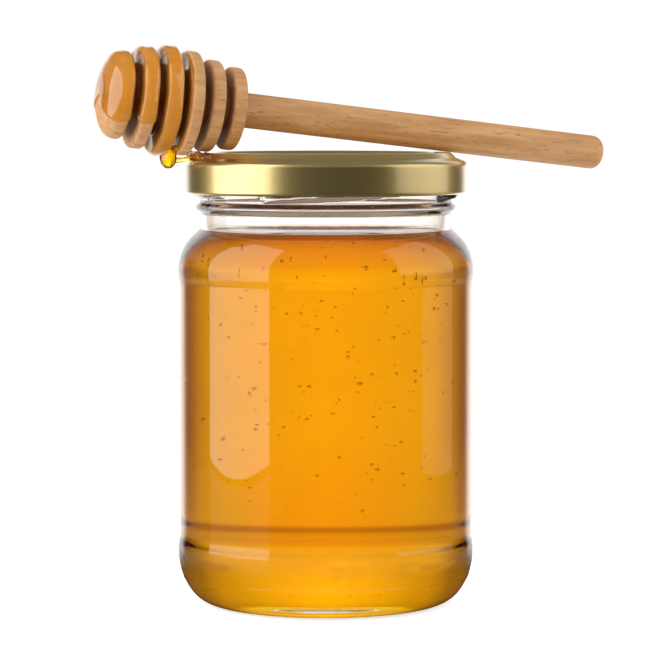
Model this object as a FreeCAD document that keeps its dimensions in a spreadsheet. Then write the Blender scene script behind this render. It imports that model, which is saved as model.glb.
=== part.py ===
import FreeCAD, Part
import math
import os
from types import SimpleNamespace

import Sketcher

os.makedirs("parts", exist_ok=True)

# A round glass jar of honey with a twist-off lid, and a turned honey dipper laid across the lid.
# Lengths are in millimetres and angles in degrees. The jar stands on Z = 0 around the Z axis.
NUMBERS = {
    # Glass jar.
    "jar_radius": 35.9,
    "heel_bead_rise": 0.05,
    "label_panel_depth": 0.35,
    "glass_wall": 2.25,
    "base_push_up": 1.8,
    "stand_ring_width": 2.0,
    "heel_low_curve": 8.3,
    "heel_high_curve": 15.4,
    "heel_bead_top": 15.4,
    "panel_step": 1.0,
    "shoulder_bead_bottom": 79.8,
    "shoulder_bottom": 81.5,
    "shoulder_curve": 11.75,
    "neck_radius": 30.4,
    "neck_curve": 2.0,
    "floor_middle": 5.5,
    "floor_dome": 1.0,
    "inner_heel_curve": 9.0,
    "neck_bead_rise": 1.5,
    "neck_bead_height": 96.65,
    "neck_bead_half_width": 1.35,
    "finish_step": 0.2,
    "rim_curve": 0.8,
    # Screw thread of the glass.
    "thread_depth": 1.6,
    "thread_width": 1.9,
    "thread_bottom": 97.8,
    "thread_turns": 0.29,
    "thread_pitch": 13.5,
    "thread_start": -121.6,
    "thread_count": 4,
    # Honey in the jar.
    "honey_below_neck": 3.2,
    "honey_clearance": 0.1,
    # Lid.
    "lid_top": 109.9,
    "lid_thread_room": 2.2,
    "lid_sheet": 0.4,
    "lid_seat_clearance": 0.3,
    "lid_panel_gap": 0.75,
    "lid_panel_depth": 0.8,
    "lid_ring_slope": 0.9,
    "lid_ring_inset": 0.3,
    "lid_ledge_bend": 1.3,
    "lid_ledge_drop": 1.3,
    "lid_corner_inset": 1.0,
    "lid_ledge_slope": 0.65,
    "lid_corner_drop": 1.2,
    "lid_corner_curve": 1.3,
    "lid_curl": 0.65,
    "lid_bottom": 99.95,
    # Dipper, along its own axis from the tip of the head.
    "dipper_length": 129.0,
    "knob_radius": 10.5,
    "knob_length": 5.7,
    "knob_nose_curve": 9.0,
    "knob_edge_curve": 3.3,
    "disc_first": 9.7,
    "disc_pitch": 5.65,
    "disc_thickness": 3.3,
    "disc_edge_curve": 0.8,
    "disc_a_radius": 12.2,
    "disc_b_radius": 13.05,
    "disc_c_radius": 12.55,
    "disc_d_radius": 11.05,
    "disc_e_radius": 10.0,
    "core_radius": 5.0,
    "handle_radius": 4.22,
    "handle_end_radius": 4.12,
    "handle_end_curve": 2.6,
    # How the dipper lies on the lid.
    "dipper_yaw": 17.5,
    "dipper_rest_shift": 0.65,
    "dipper_offset": 1.5,
    "dipper_clearance": 0.2,
    # Honey that drips from the head onto the lid.
    "drop_radius": 2.6,
    "drop_hang": 0.9,
    "strand_radius": 1.2,
    "strand_drop": 1.13,
    "pool_radius": 1.4,
    "pool_start": -192.0,
    "pool_sweep": 42.0,
}


class Size:
    """A value with the formula that gives it from the sheet."""

    def __init__(self, formula, value):
        self.formula = formula
        self.value = value

    def __add__(self, other):
        return join(self, "+", other, self.value + number(other))

    def __radd__(self, other):
        return join(other, "+", self, number(other) + self.value)

    def __sub__(self, other):
        return join(self, "-", other, self.value - number(other))

    def __rsub__(self, other):
        return join(other, "-", self, number(other) - self.value)

    def __mul__(self, other):
        return join(self, "*", other, self.value * number(other))

    def __rmul__(self, other):
        return join(other, "*", self, number(other) * self.value)

    def __truediv__(self, other):
        return join(self, "/", other, self.value / number(other))


def number(thing):
    """Give the present value of a size or of a plain number."""
    return thing.value if isinstance(thing, Size) else float(thing)


def text(thing):
    """Give the formula of a size or of a plain number."""
    return thing.formula if isinstance(thing, Size) else repr(float(thing))


def join(left, sign, right, value):
    """Join two formulas with a sign."""
    return Size(f"({text(left)} {sign} {text(right)})", value)


def root(thing):
    """Square root of a size."""
    return Size(f"sqrt({text(thing)})", math.sqrt(number(thing)))


def cosine(angle):
    """Cosine of an angle in degrees."""
    return Size(f"cos({text(angle)})", math.cos(math.radians(number(angle))))


def sine(angle):
    """Sine of an angle in degrees."""
    return Size(f"sin({text(angle)})", math.sin(math.radians(number(angle))))


def arc_tangent(slope):
    """Angle in degrees of a slope."""
    return Size(f"atan({text(slope)})", math.degrees(math.atan(number(slope))))


doc = FreeCAD.newDocument("HoneyJar")
sheet = doc.addObject("Spreadsheet::Sheet", "Sizes")
for row, (word, amount) in enumerate(NUMBERS.items(), start=1):
    sheet.set(f"A{row}", word)
    sheet.set(f"B{row}", str(amount))
    sheet.setAlias(f"B{row}", word)
doc.recompute()
s = SimpleNamespace(**{word: Size(f"Sizes.{word}", amount) for word, amount in NUMBERS.items()})


def origin_part(body, role):
    """Find one of the body's own planes or axes."""
    return next(item for item in body.Origin.OriginFeatures if item.Role == role)


def add_body(name):
    """Start a sub-part, whose label names its file."""
    body = doc.addObject("PartDesign::Body", name)
    body.Label = name
    return body


def arc_between(start, end, radius, turn):
    """Short arc from start to end that turns left or right, and whether its ends are swapped."""
    chord = end - start
    side = FreeCAD.Vector(-chord.y, chord.x, 0).normalize()
    reach = math.sqrt(max(radius ** 2 - (chord.Length / 2) ** 2, 0))
    centre = (start + end) / 2 + side * (reach if turn == "left" else -reach)
    first, last = (start, end) if turn == "left" else (end, start)
    first_angle = math.atan2(first.y - centre.y, first.x - centre.x)
    last_angle = math.atan2(last.y - centre.y, last.x - centre.x)
    if last_angle < first_angle:
        last_angle += 2 * math.pi
    circle = Part.Circle(centre, FreeCAD.Vector(0, 0, 1), radius)
    return Part.ArcOfCircle(circle, first_angle, last_angle), turn == "right"


def draw_outline(body, name, steps):
    """Draw a closed outline on the body's XZ plane.

    A step is (across, up) for a straight run to the next step, or (across, up, radius, turn)
    for an arc. Every coordinate and radius is tied to its formula.
    """
    sketch = body.newObject("Sketcher::SketchObject", name)
    sketch.AttachmentSupport = [(origin_part(body, "XZ_Plane"), "")]
    sketch.MapMode = "FlatFace"
    spots = [FreeCAD.Vector(number(step[0]), number(step[1]), 0) for step in steps]
    ends = []
    for index, step in enumerate(steps):
        start = spots[index]
        end = spots[(index + 1) % len(steps)]
        if len(step) == 2:
            edge = sketch.addGeometry(Part.LineSegment(start, end), False)
            ends.append((edge, 1, 2))
        else:
            arc, swapped = arc_between(start, end, number(step[2]), step[3])
            edge = sketch.addGeometry(arc, False)
            ends.append((edge, 2, 1) if swapped else (edge, 1, 2))
    for index, step in enumerate(steps):
        edge, near, far = ends[index]
        next_edge, next_near, next_far = ends[(index + 1) % len(steps)]
        sketch.addConstraint(Sketcher.Constraint("Coincident", edge, far, next_edge, next_near))
        tie_distance(sketch, "DistanceX", -2, edge, near, step[0])
        tie_distance(sketch, "DistanceY", -1, edge, near, step[1])
        if len(step) == 4:
            rule = sketch.addConstraint(Sketcher.Constraint("Radius", edge, number(step[2])))
            sketch.setExpression(f"Constraints[{rule}]", text(step[2]))
    return sketch


def tie_distance(sketch, kind, axis, edge, end, amount):
    """Hold one end of an edge at a distance from the origin, or on the axis where it is 0."""
    if number(amount) == 0:
        sketch.addConstraint(Sketcher.Constraint("PointOnObject", edge, end, axis))
        return
    rule = sketch.addConstraint(Sketcher.Constraint(kind, -1, 1, edge, end, number(amount)))
    sketch.setExpression(f"Constraints[{rule}]", text(amount))


def revolve(body, name, sketch, axis):
    """Turn an outline once around an axis of its sketch."""
    feature = body.newObject("PartDesign::Revolution", name)
    feature.Profile = sketch
    feature.ReferenceAxis = (sketch, [axis])
    feature.Angle = 360
    sketch.Visibility = False
    return feature


# Points that the glass, the honey and the lid share.
heel_bead_radius = s.jar_radius + s.heel_bead_rise
label_panel_radius = s.jar_radius - s.label_panel_depth
heel_top = 0.4 * s.heel_low_curve + 0.6 * s.heel_high_curve
stand_outer = heel_bead_radius - 0.8 * s.heel_low_curve - 0.2 * s.heel_high_curve
stand_inner = stand_outer - s.stand_ring_width
bend_across = (s.jar_radius - s.neck_radius) / (s.shoulder_curve + s.neck_curve)
bend_up = root(1 - (1 - bend_across) * (1 - bend_across))
bend_radius = s.jar_radius - bend_across * s.shoulder_curve
bend_height = s.shoulder_bottom + bend_up * s.shoulder_curve
neck_bottom = bend_height + bend_up * s.neck_curve
rim_top = s.lid_top - s.lid_sheet - s.lid_seat_clearance
bore_radius = s.neck_radius - s.glass_wall
neck_bead_radius = s.neck_radius + s.neck_bead_rise
finish_radius = s.neck_radius + s.finish_step
thread_radius = finish_radius + s.thread_depth
lid_radius = thread_radius + s.lid_thread_room
lid_panel_radius = bore_radius - s.lid_panel_gap
honey_level = neck_bottom - s.honey_below_neck
lid_ring_inner = lid_panel_radius + s.lid_ring_slope
lid_ring_outer = finish_radius - s.lid_ring_inset
lid_ledge_inner = lid_ring_outer + s.lid_ledge_bend
floor_radius = s.jar_radius - s.glass_wall - s.inner_heel_curve
floor_edge = s.floor_middle - s.floor_dome
inner_heel_top = floor_edge + s.inner_heel_curve


def cap_radius(width, height):
    """Radius of a shallow cap from its half width and its height."""
    return (width * width + height * height) / (2 * height)


def inside_outline(clearance):
    """Outline of the jar's inside from the neck to the middle of its floor, drawn in by a clearance."""
    wall = s.glass_wall + clearance
    return [
        (s.neck_radius - wall, neck_bottom, s.neck_curve + wall, "left"),
        (
            bend_radius - (1 - bend_across) * wall,
            bend_height - bend_up * wall,
            s.shoulder_curve - wall,
            "right",
        ),
        (s.jar_radius - wall, s.shoulder_bottom),
        (s.jar_radius - wall, inner_heel_top, s.inner_heel_curve - clearance, "right"),
        (floor_radius, floor_edge + clearance, cap_radius(floor_radius, s.floor_dome), "left"),
        (0, s.floor_middle + clearance),
    ]


def make_jar():
    """Blown glass jar with a push-up base, a label panel between two beads, and a threaded finish."""
    bead_reach = neck_bead_radius - 0.5
    bead_half = 0.4 * s.neck_bead_half_width
    bead_curve = (bead_half * bead_half + 0.25) / 1.0
    steps = [
        (0, s.base_push_up, cap_radius(stand_inner, s.base_push_up), "right"),
        (stand_inner, 0),
        (stand_outer, 0, s.heel_low_curve, "left"),
        (stand_outer + 0.8 * s.heel_low_curve, 0.4 * s.heel_low_curve, s.heel_high_curve, "left"),
        (heel_bead_radius, heel_top),
        (heel_bead_radius, s.heel_bead_top),
        (label_panel_radius, s.heel_bead_top + s.panel_step),
        (label_panel_radius, s.shoulder_bead_bottom - s.panel_step),
        (s.jar_radius, s.shoulder_bead_bottom),
        (s.jar_radius, s.shoulder_bottom, s.shoulder_curve, "left"),
        (bend_radius, bend_height, s.neck_curve, "right"),
        (s.neck_radius, neck_bottom),
        (s.neck_radius, s.neck_bead_height - s.neck_bead_half_width),
        (bead_reach, s.neck_bead_height - bead_half, bead_curve, "left"),
        (bead_reach, s.neck_bead_height + bead_half),
        (finish_radius, s.neck_bead_height + s.neck_bead_half_width),
        (finish_radius, rim_top - s.rim_curve, s.rim_curve, "left"),
        (finish_radius - s.rim_curve, rim_top),
        (bore_radius + s.rim_curve, rim_top, s.rim_curve, "left"),
        (bore_radius, rim_top - s.rim_curve),
    ]
    jar = add_body("jar")
    wall = revolve(jar, "JarWall", draw_outline(jar, "JarOutline", steps + inside_outline(0)), "V_Axis")
    add_thread(jar, wall)
    return jar


def add_thread(jar, wall):
    """Short screw threads around the finish, each climbing to the right."""
    root_radius = finish_radius - 0.3
    steps = [
        (root_radius, s.thread_bottom),
        (thread_radius, s.thread_bottom + 0.25 * s.thread_width),
        (thread_radius, s.thread_bottom + 0.75 * s.thread_width),
        (root_radius, s.thread_bottom + s.thread_width),
    ]
    sketch = draw_outline(jar, "ThreadOutline", steps)
    turned = FreeCAD.Rotation(FreeCAD.Vector(0, 1, 0), number(s.thread_start))
    sketch.AttachmentOffset = FreeCAD.Placement(FreeCAD.Vector(), turned)
    sketch.setExpression("AttachmentOffset.Rotation.Angle", text(s.thread_start))
    thread = jar.newObject("PartDesign::AdditiveHelix", "Thread")
    thread.Profile = sketch
    thread.ReferenceAxis = (sketch, ["V_Axis"])
    thread.Mode = "pitch-turns-angle"
    thread.setExpression("Pitch", text(s.thread_pitch))
    thread.setExpression("Turns", text(s.thread_turns))
    sketch.Visibility = False
    pattern = jar.newObject("PartDesign::PolarPattern", "Threads")
    pattern.Originals = [thread]
    pattern.Axis = (origin_part(jar, "Z_Axis"), [""])
    pattern.Angle = 360
    pattern.setExpression("Occurrences", text(s.thread_count))
    jar.Tip = pattern
    wall.Visibility = False


def make_honey():
    """Honey that fills the jar up to its level, a named clearance inside the glass."""
    inside = inside_outline(s.honey_clearance)
    arc_centre = s.neck_radius + s.neck_curve
    arc_radius = inside[0][2]
    edge = arc_centre - root(arc_radius * arc_radius - s.honey_below_neck * s.honey_below_neck)
    steps = [(0, honey_level), (edge, honey_level, arc_radius, "left")] + inside[1:]
    honey = add_body("honey")
    revolve(honey, "HoneyFill", draw_outline(honey, "HoneyOutline", steps), "V_Axis")
    return honey


def lid_top_steps():
    """Outline of the lid's outside from the middle of its panel down to the rolled edge."""
    panel_top = s.lid_top - s.lid_panel_depth
    ledge_top = s.lid_top - s.lid_ledge_drop
    ledge_end = ledge_top - s.lid_ledge_slope
    return [
        (0, panel_top),
        (lid_panel_radius, panel_top),
        (lid_ring_inner, s.lid_top),
        (lid_ring_outer, s.lid_top),
        (lid_ledge_inner, ledge_top),
        (lid_radius - s.lid_corner_inset, ledge_end, s.lid_corner_curve, "right"),
        (lid_radius, ledge_end - s.lid_corner_drop),
    ]


def make_lid():
    """Pressed steel lid with a raised ring, a sunk panel and a rolled lower edge."""
    outside = lid_top_steps()
    sheet_in = s.lid_sheet
    curl_middle = s.lid_bottom + s.lid_curl
    edge = [
        (lid_radius, curl_middle, s.lid_curl, "right"),
        (lid_radius - s.lid_curl, s.lid_bottom, s.lid_curl, "right"),
        (lid_radius - 2 * s.lid_curl, curl_middle, s.lid_curl, "right"),
        (lid_radius - s.lid_curl, curl_middle + s.lid_curl),
        (lid_radius - sheet_in, curl_middle + s.lid_curl),
        (lid_radius - sheet_in, outside[6][1], s.lid_corner_curve, "left"),
    ]
    inside = [(step[0] - 0.5 * sheet_in, step[1] - sheet_in) for step in outside[5:2:-1]]
    inside += [(step[0] + 0.5 * sheet_in, step[1] - sheet_in) for step in outside[2:0:-1]]
    inside.append((0, outside[0][1] - sheet_in))
    lid = add_body("lid")
    revolve(lid, "LidSheet", draw_outline(lid, "LidOutline", outside + edge + inside), "V_Axis")
    return lid


def make_lid_block():
    """The lid without its hollow, which only trims the honey that lies on it."""
    block = add_body("LidBlock")
    steps = lid_top_steps() + [(lid_radius, s.lid_bottom), (0, s.lid_bottom)]
    revolve(block, "LidBlockTurned", draw_outline(block, "LidBlockOutline", steps), "V_Axis")
    block.Visibility = False
    return block


def disc_steps(middle, radius):
    """Outline of one disc of the head, up one side, over its rounded rim and down."""
    half = 0.5 * s.disc_thickness
    curve = s.disc_edge_curve
    return [
        (middle - half, s.core_radius),
        (middle - half, radius - curve, curve, "right"),
        (middle - half + curve, radius),
        (middle + half - curve, radius, curve, "right"),
        (middle + half, radius - curve),
    ]


# Where the dipper lies: one disc rests on the left of the lid's ring, the handle on the right.
ring_middle = 0.5 * (lid_ring_inner + lid_ring_outer)
rest_disc_middle = s.disc_first + 3 * s.disc_pitch
tip_reach = rest_disc_middle + ring_middle + s.dipper_rest_shift
dipper_tilt = arc_tangent((s.disc_d_radius - s.handle_radius) / (2 * ring_middle))
axis_lift = 0.5 * (s.disc_d_radius + s.handle_radius) * cosine(dipper_tilt)
axis_height = s.lid_top + s.dipper_clearance + axis_lift
along = (
    cosine(dipper_tilt) * cosine(s.dipper_yaw),
    cosine(dipper_tilt) * sine(s.dipper_yaw),
    0 - sine(dipper_tilt),
)
tip = (
    0 - along[0] * tip_reach,
    s.dipper_offset - along[1] * tip_reach,
    axis_height - along[2] * tip_reach,
)


def place(thing, spot, yaw, pitch):
    """Tie an object's place and turn to their formulas."""
    base = f"create(<<vector>>; {text(spot[0])}; {text(spot[1])}; {text(spot[2])})"
    turn = f"create(<<rotation>>; {text(yaw)}; {text(pitch)}; 0)"
    thing.setExpression("Placement", f"create(<<placement>>; {base}; {turn})")


def make_dipper():
    """Turned wooden dipper: a domed end knob, five discs on a core, and a tapered handle."""
    nose_flat = s.knob_radius - 0.6 * s.knob_nose_curve - 0.4 * s.knob_edge_curve
    steps = [
        (0, 0),
        (0, nose_flat, s.knob_nose_curve, "right"),
        (0.2 * s.knob_nose_curve, nose_flat + 0.6 * s.knob_nose_curve, s.knob_edge_curve, "right"),
        (0.2 * s.knob_nose_curve + 0.8 * s.knob_edge_curve, s.knob_radius),
        (s.knob_length - s.disc_edge_curve, s.knob_radius, s.disc_edge_curve, "right"),
        (s.knob_length, s.knob_radius - s.disc_edge_curve),
        (s.knob_length, s.core_radius),
    ]
    radii = [s.disc_a_radius, s.disc_b_radius, s.disc_c_radius, s.disc_d_radius, s.disc_e_radius]
    for index, radius in enumerate(radii):
        middle = s.disc_first + index * s.disc_pitch
        steps += disc_steps(middle, radius)
        if index < len(radii) - 1:
            steps.append((middle + 0.5 * s.disc_thickness, s.core_radius))
    steps += [
        (middle + 0.5 * s.disc_thickness, s.handle_radius),
        (s.dipper_length - s.handle_end_curve, s.handle_end_radius, s.handle_end_curve, "right"),
        (s.dipper_length, s.handle_end_radius - s.handle_end_curve),
        (s.dipper_length, 0),
    ]
    dipper = add_body("dipper")
    revolve(dipper, "DipperWood", draw_outline(dipper, "DipperOutline", steps), "H_Axis")
    place(dipper, tip, s.dipper_yaw, dipper_tilt)
    return dipper


def under_head(station, depth):
    """Point a given depth below the dipper's axis, at a station along it from the tip."""
    return (
        tip[0] + along[0] * station - depth * sine(dipper_tilt) * cosine(s.dipper_yaw),
        tip[1] + along[1] * station - depth * sine(dipper_tilt) * sine(s.dipper_yaw),
        tip[2] + along[2] * station - depth * cosine(dipper_tilt),
    )


def add_round(kind, name, sizes):
    """Add a plain round solid that the drip is made from."""
    solid = doc.addObject(kind, name)
    for word, amount in sizes.items():
        solid.setExpression(word, text(amount))
    solid.Visibility = False
    return solid


def make_honey_drip(dipper):
    """Honey that hangs under the head and runs onto the lid's ring, cut to the wood and the steel."""
    disc_c_middle = s.disc_first + 2 * s.disc_pitch
    drop_at = under_head(disc_c_middle - 0.5 * s.disc_pitch, s.disc_c_radius + s.drop_hang)
    drop = add_round("Part::Sphere", "Drop", {"Radius": s.drop_radius})
    place(drop, drop_at, 0, 0)
    pool_circle = 0.5 * (lid_ring_outer + lid_ledge_inner)
    strand_length = root(drop_at[0] * drop_at[0] + drop_at[1] * drop_at[1]) - pool_circle
    strand = add_round("Part::Cylinder", "Strand", {"Radius": s.strand_radius, "Height": strand_length})
    place(strand, (drop_at[0], drop_at[1], s.lid_top - s.strand_drop), s.dipper_yaw, 90)
    pool = add_round("Part::Torus", "Pool", {
        "Radius1": pool_circle,
        "Radius2": s.pool_radius,
        "Angle3": s.pool_sweep,
    })
    place(pool, (0, 0, s.lid_top - 0.5 * s.lid_ledge_drop), s.pool_start, 0)
    mass = doc.addObject("Part::MultiFuse", "DripMass")
    mass.Shapes = [drop, strand, pool]
    solid = doc.addObject("Part::MultiFuse", "WoodAndSteel")
    solid.Shapes = [dipper, make_lid_block()]
    drip = doc.addObject("Part::Cut", "honey_drip")
    drip.Label = "honey_drip"
    drip.Base = mass
    drip.Tool = solid
    return drip


jar_part = make_jar()
honey_part = make_honey()
lid_part = make_lid()
dipper_part = make_dipper()
drip_part = make_honey_drip(dipper_part)
parts = [jar_part, honey_part, lid_part, dipper_part, drip_part]

doc.recompute()
for item in doc.Objects:
    if "Invalid" in item.State or "Error" in item.State:
        raise RuntimeError(f"{item.Name} did not build: {item.State}")
for part in parts:
    if part.Shape.isNull() or not part.Shape.isValid():
        raise RuntimeError(f"{part.Label} has no valid shape")
    if len(part.Shape.Solids) != 1:
        raise RuntimeError(f"{part.Label} is in {len(part.Shape.Solids)} pieces")
    part.Shape.exportStep(f"parts/{part.Label}.step")
    box = part.Shape.BoundBox
    print(part.Label, round(part.Shape.Volume, 1), [round(v, 2) for v in (box.XMin, box.YMin, box.ZMin,
                                                                          box.XMax, box.YMax, box.ZMax)])
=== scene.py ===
import math

import bpy
import numpy as np
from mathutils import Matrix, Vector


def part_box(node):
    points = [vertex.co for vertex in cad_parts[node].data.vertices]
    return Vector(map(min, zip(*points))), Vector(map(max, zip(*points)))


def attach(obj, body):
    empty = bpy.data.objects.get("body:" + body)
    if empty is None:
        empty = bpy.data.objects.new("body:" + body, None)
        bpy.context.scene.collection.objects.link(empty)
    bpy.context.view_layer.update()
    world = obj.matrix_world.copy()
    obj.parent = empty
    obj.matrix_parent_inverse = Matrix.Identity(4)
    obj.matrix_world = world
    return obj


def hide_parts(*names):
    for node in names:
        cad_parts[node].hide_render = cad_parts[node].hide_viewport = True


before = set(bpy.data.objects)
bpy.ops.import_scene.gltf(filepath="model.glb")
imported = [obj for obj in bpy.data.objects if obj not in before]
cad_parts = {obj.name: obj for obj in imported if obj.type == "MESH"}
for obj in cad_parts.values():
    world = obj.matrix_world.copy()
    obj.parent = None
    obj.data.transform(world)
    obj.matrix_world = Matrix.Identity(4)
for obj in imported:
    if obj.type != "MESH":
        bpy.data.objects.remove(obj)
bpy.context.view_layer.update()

MM = 0.001


def linear(code):
    """Turn an sRGB hex colour into linear red, green, blue and a full alpha."""
    parts = [int(code[at:at + 2], 16) / 255 for at in (1, 3, 5)]
    return [p / 12.92 if p <= 0.04045 else ((p + 0.055) / 1.055) ** 2.4 for p in parts] + [1.0]


# ---------------------------------------------------------------- camera

camera_data = bpy.data.cameras.new("studio_camera")
camera_data.lens = 181.3
camera_data.sensor_width = 36.0
camera_data.clip_start = 0.05
camera = bpy.data.objects.new("studio_camera", camera_data)
camera.location = (-0.18 * MM, -796.17 * MM, 121.96 * MM)
camera.rotation_euler = (math.radians(90 - 3.89), 0, 0)
bpy.context.scene.collection.objects.link(camera)
bpy.context.scene.camera = camera

# ---------------------------------------------------------------- sizes, in millimetres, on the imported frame

jar_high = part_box("jar")[1]
lid_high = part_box("lid")[1]

GLASS_WALL = 2.25
JAR_RADIUS = 35.9
BEAD_RADIUS = 35.95
PANEL_RADIUS = 35.55
NECK_RADIUS = 30.4
FINISH_RADIUS = 30.6
RIM_TOP = float(jar_high[2]) / MM
LID_TOP = float(lid_high[2]) / MM
LID_RADIUS = 34.4
THREAD_DEPTH = 1.6
THREAD_PITCH = 13.5
HEEL_BEAD_TOP = 15.4
PANEL_BOTTOM = 16.4
PANEL_TOP = 78.8
SHOULDER_BEAD = 79.8
HONEY_LEVEL = 89.3
MENISCUS_TOP = 90.3
HONEY_INTO_WALL = 0.12
LEDGE_INNER = 31.6
LEDGE_OUTER = 33.4


# ---------------------------------------------------------------- outlines

TRACE_STEP = 0.04
EVEN_STEP = 0.03
BROAD_WIDTH = 0.5
LONGEST_STEP = 1.6
BEND_STEP = 0.12


def trace(steps):
    """Dense outline through steps, as arrays of radius and height.

    A step is (r, z) for a straight run to the next one, or (r, z, radius, turn) for an arc whose
    centre lies at that radius, to the left (+1) or right (-1) of the chord.
    """
    runs = []
    for here, there in zip(steps[:-1], steps[1:]):
        start, end = np.array(here[:2], float), np.array(there[:2], float)
        chord = end - start
        share = np.linspace(0, 1, max(int(np.hypot(*chord) / TRACE_STEP), 4), endpoint=False)
        if len(here) == 2:
            runs.append(start + share[:, None] * chord)
            continue
        half = np.hypot(*chord) / 2
        side = np.array([-chord[1], chord[0]]) / (2 * half)
        centre = (start + end) / 2 + side * here[3] * math.sqrt(max(here[2] ** 2 - half ** 2, 0))
        first = math.atan2(*(start - centre)[::-1])
        sweep = (math.atan2(*(end - centre)[::-1]) - first + math.pi) % (2 * math.pi) - math.pi
        angle = first + share * sweep
        runs.append(centre + here[2] * np.stack([np.cos(angle), np.sin(angle)], 1))
    runs.append(np.array([steps[-1][:2]], float))
    points = np.concatenate(runs)
    return points[:, 0], points[:, 1]


def averaged(r, z, width):
    """Average both coordinates along the outline with a bell of a width, mirrored across the axis."""
    reach = int(4 * width / EVEN_STEP)
    bell = np.exp(-0.5 * (np.arange(-reach, reach + 1) * EVEN_STEP / width) ** 2)
    bell /= bell.sum()
    long_r = np.concatenate([-r[reach:0:-1], r, -r[-2:-reach - 2:-1]])
    long_z = np.concatenate([z[reach:0:-1], z, z[-2:-reach - 2:-1]])
    return np.convolve(long_r, bell, "valid"), np.convolve(long_z, bell, "valid")


def softened(r, z, width, rows, fine=None, broad=None):
    """Outline with its corners rounded and its points set closer where it bends.

    The outline is averaged over a narrow width, and over a broad one where broad(r, z) says so.
    The points are then spread so that each step holds an equal share of length plus bend, plus
    what fine(r, z) asks for.
    """
    length = np.concatenate([[0], np.cumsum(np.hypot(np.diff(r), np.diff(z)))])
    even = np.arange(0, length[-1], EVEN_STEP)
    r, z = np.interp(even, length, r), np.interp(even, length, z)
    narrow_r, narrow_z = averaged(r, z, width)
    if broad is not None:
        share = broad(r, z)
        broad_r, broad_z = averaged(r, z, BROAD_WIDTH)
        narrow_r += share * (broad_r - narrow_r)
        narrow_z += share * (broad_z - narrow_z)
    r, z = narrow_r, narrow_z
    r[0] = r[-1] = 0
    heading = np.unwrap(np.arctan2(np.gradient(z), np.gradient(r)))
    weight = EVEN_STEP / LONGEST_STEP + np.abs(np.gradient(heading)) / BEND_STEP
    if fine is not None:
        weight = weight + EVEN_STEP * fine(r, z)
    spread = np.concatenate([[0], np.cumsum(0.5 * (weight[1:] + weight[:-1]))])
    picks = np.interp(np.linspace(0, spread[-1], rows), spread, np.arange(len(r)))
    return np.interp(picks, np.arange(len(r)), r), np.interp(picks, np.arange(len(r)), z)


# ---------------------------------------------------------------- surfaces

def new_piece(name, points, faces, material, slot, node=None, **shares):
    """Put arrays of points and of three- or four-sided faces into a smooth mesh that rides on the jar.

    Shares are values from 0 to 1 for each point, kept as attributes that the material reads by name.
    """
    mesh = bpy.data.meshes.new(name)
    mesh.vertices.add(len(points))
    mesh.vertices.foreach_set("co", np.asarray(points, np.float32).ravel())
    corners = np.concatenate([np.asarray(part).ravel() for part in faces])
    counts = np.concatenate([np.full(len(part), np.shape(part)[1]) for part in faces])
    mesh.loops.add(len(corners))
    mesh.loops.foreach_set("vertex_index", corners.astype(np.int32))
    mesh.polygons.add(len(counts))
    mesh.polygons.foreach_set("loop_start", np.concatenate([[0], np.cumsum(counts)[:-1]]).astype(np.int32))
    mesh.polygons.foreach_set("use_smooth", np.ones(len(counts), bool))
    mesh.update(calc_edges=True)
    mesh.validate()
    for key, share in shares.items():
        mesh.attributes.new(key, "FLOAT", "POINT").data.foreach_set("value", share.astype(np.float32))
    mesh.materials.append(material)
    piece = bpy.data.objects.new(name, mesh)
    bpy.context.scene.collection.objects.link(piece)
    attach(piece, "root")
    if node:
        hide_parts(node)
    return piece


def spun_faces(rows, columns):
    """Faces of a closed skin of rings: quads between the rings, and triangles at its two poles."""
    ring = np.arange(columns)
    after = (ring + 1) % columns
    first = 1 + columns * np.arange(rows - 1)[:, None]
    quads = np.stack([first + ring, first + columns + ring, first + columns + after, first + after], -1)
    last = 1 + columns * rows
    low = np.stack([np.zeros(columns, int), 1 + ring, 1 + after], -1)
    high = np.stack([np.full(columns, last), last - columns + after, last - columns + ring], -1)
    return [quads.reshape(-1, 4), low, high]


def spun(r, z, columns, shape=None):
    """Points and faces of an outline spun around the upright axis, running from pole to pole.

    The point of outline row i and column j is (r cos a, r sin a, z), with a = 2 pi j / columns.
    shape(r, z, a) may return changed radii and heights. The outline runs anticlockwise seen with
    r to the right, so that the faces look outwards.
    """
    angle = 2 * math.pi * np.arange(columns) / columns
    rr = np.repeat(r[1:-1, None], columns, 1)
    zz = np.repeat(z[1:-1, None], columns, 1)
    aa = np.repeat(angle[None, :], len(r) - 2, 0)
    if shape is not None:
        rr, zz = shape(rr, zz, aa)
    body = np.stack([rr * np.cos(aa), rr * np.sin(aa), zz], -1).reshape(-1, 3)
    points = np.concatenate([[[0, 0, z[0]]], body, [[0, 0, z[-1]]]])
    return points, spun_faces(len(r) - 2, columns)


def outward(points, faces):
    """The faces, all turned over if they enclose a negative volume."""
    volume = 0.0
    for part in faces:
        for corner in range(1, part.shape[1] - 1):
            a, b, c = points[part[:, 0]], points[part[:, corner]], points[part[:, corner + 1]]
            volume += np.einsum("ij,ij->i", a, np.cross(b, c)).sum()
    return [part[:, ::-1] for part in faces] if volume < 0 else faces


def step_up(value, low, high):
    """Smooth rise from 0 at low to 1 at high."""
    share = np.clip((value - low) / (high - low), 0, 1)
    return share * share * (3 - 2 * share)


# ---------------------------------------------------------------- materials

def node(tree, kind, settings=None, links=None):
    """Add a node. A setting is one of its own properties or the value of one of its sockets."""
    item = tree.nodes.new(kind)
    for key, value in (settings or {}).items():
        if isinstance(key, str) and key in item.bl_rna.properties:
            setattr(item, key, value)
        else:
            item.inputs[key].default_value = value
    for key, source in (links or {}).items():
        tree.links.new(source, item.inputs[key])
    return item


def new_material(name):
    """Empty material with its output, given back with its node tree."""
    material = bpy.data.materials.new(name)
    material.use_nodes = True
    material.node_tree.nodes.clear()
    return material, material.node_tree


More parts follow.
